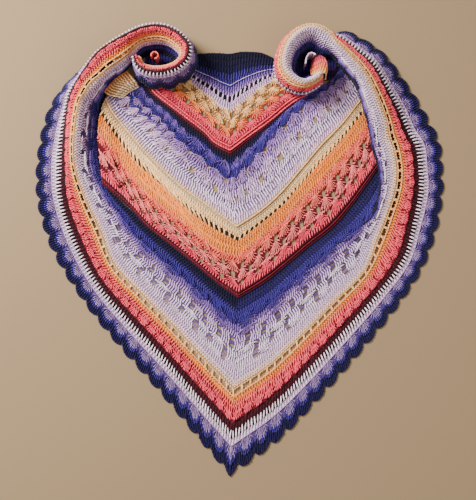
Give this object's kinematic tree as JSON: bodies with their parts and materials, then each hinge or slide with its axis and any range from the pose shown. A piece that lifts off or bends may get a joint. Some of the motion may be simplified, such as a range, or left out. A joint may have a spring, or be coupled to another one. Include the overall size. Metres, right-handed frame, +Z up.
{
  "type": "crocheted triangular shawl, laid flat in a heart shape",
  "caption": "Crocheted gradient shawl in V-shaped lace rows with a scalloped edge, laid flat as a heart with both tails rolled up.",
  "frame": {"origin": "centre of the laid shawl's footprint, on the surface it lies on", "axes": "+Z up from the surface, +Y towards the neck edge, +X to the right as seen from above with the neck edge away"},
  "size_m": [0.6159, 0.673, 0.0573],
  "materials": {
    "neck_yarn": "matt crocheted cotton",
    "coral_yarn": "matt crocheted cotton",
    "navy_yarn": "matt crocheted cotton",
    "lilac_yarn": "matt crocheted cotton",
    "peach_yarn": "matt crocheted cotton"
  },
  "bodies": {
    "root": {"neck_panel": "neck_yarn", "middle_panel": "coral_yarn", "navy_band": "navy_yarn", "lilac_lace": "lilac_yarn", "border": "coral_yarn", "shell_edging": "navy_yarn", "left_tail_roll": "coral_yarn", "right_tail_roll": "peach_yarn", "left_tail_tip": "coral_yarn", "right_tail_turn": "coral_yarn", "right_tail_tip": "lilac_yarn", "right_fold": "lilac_yarn", "left_fold_under": "coral_yarn", "turned_flap": "peach_yarn"}
  },
  "joints": []
}
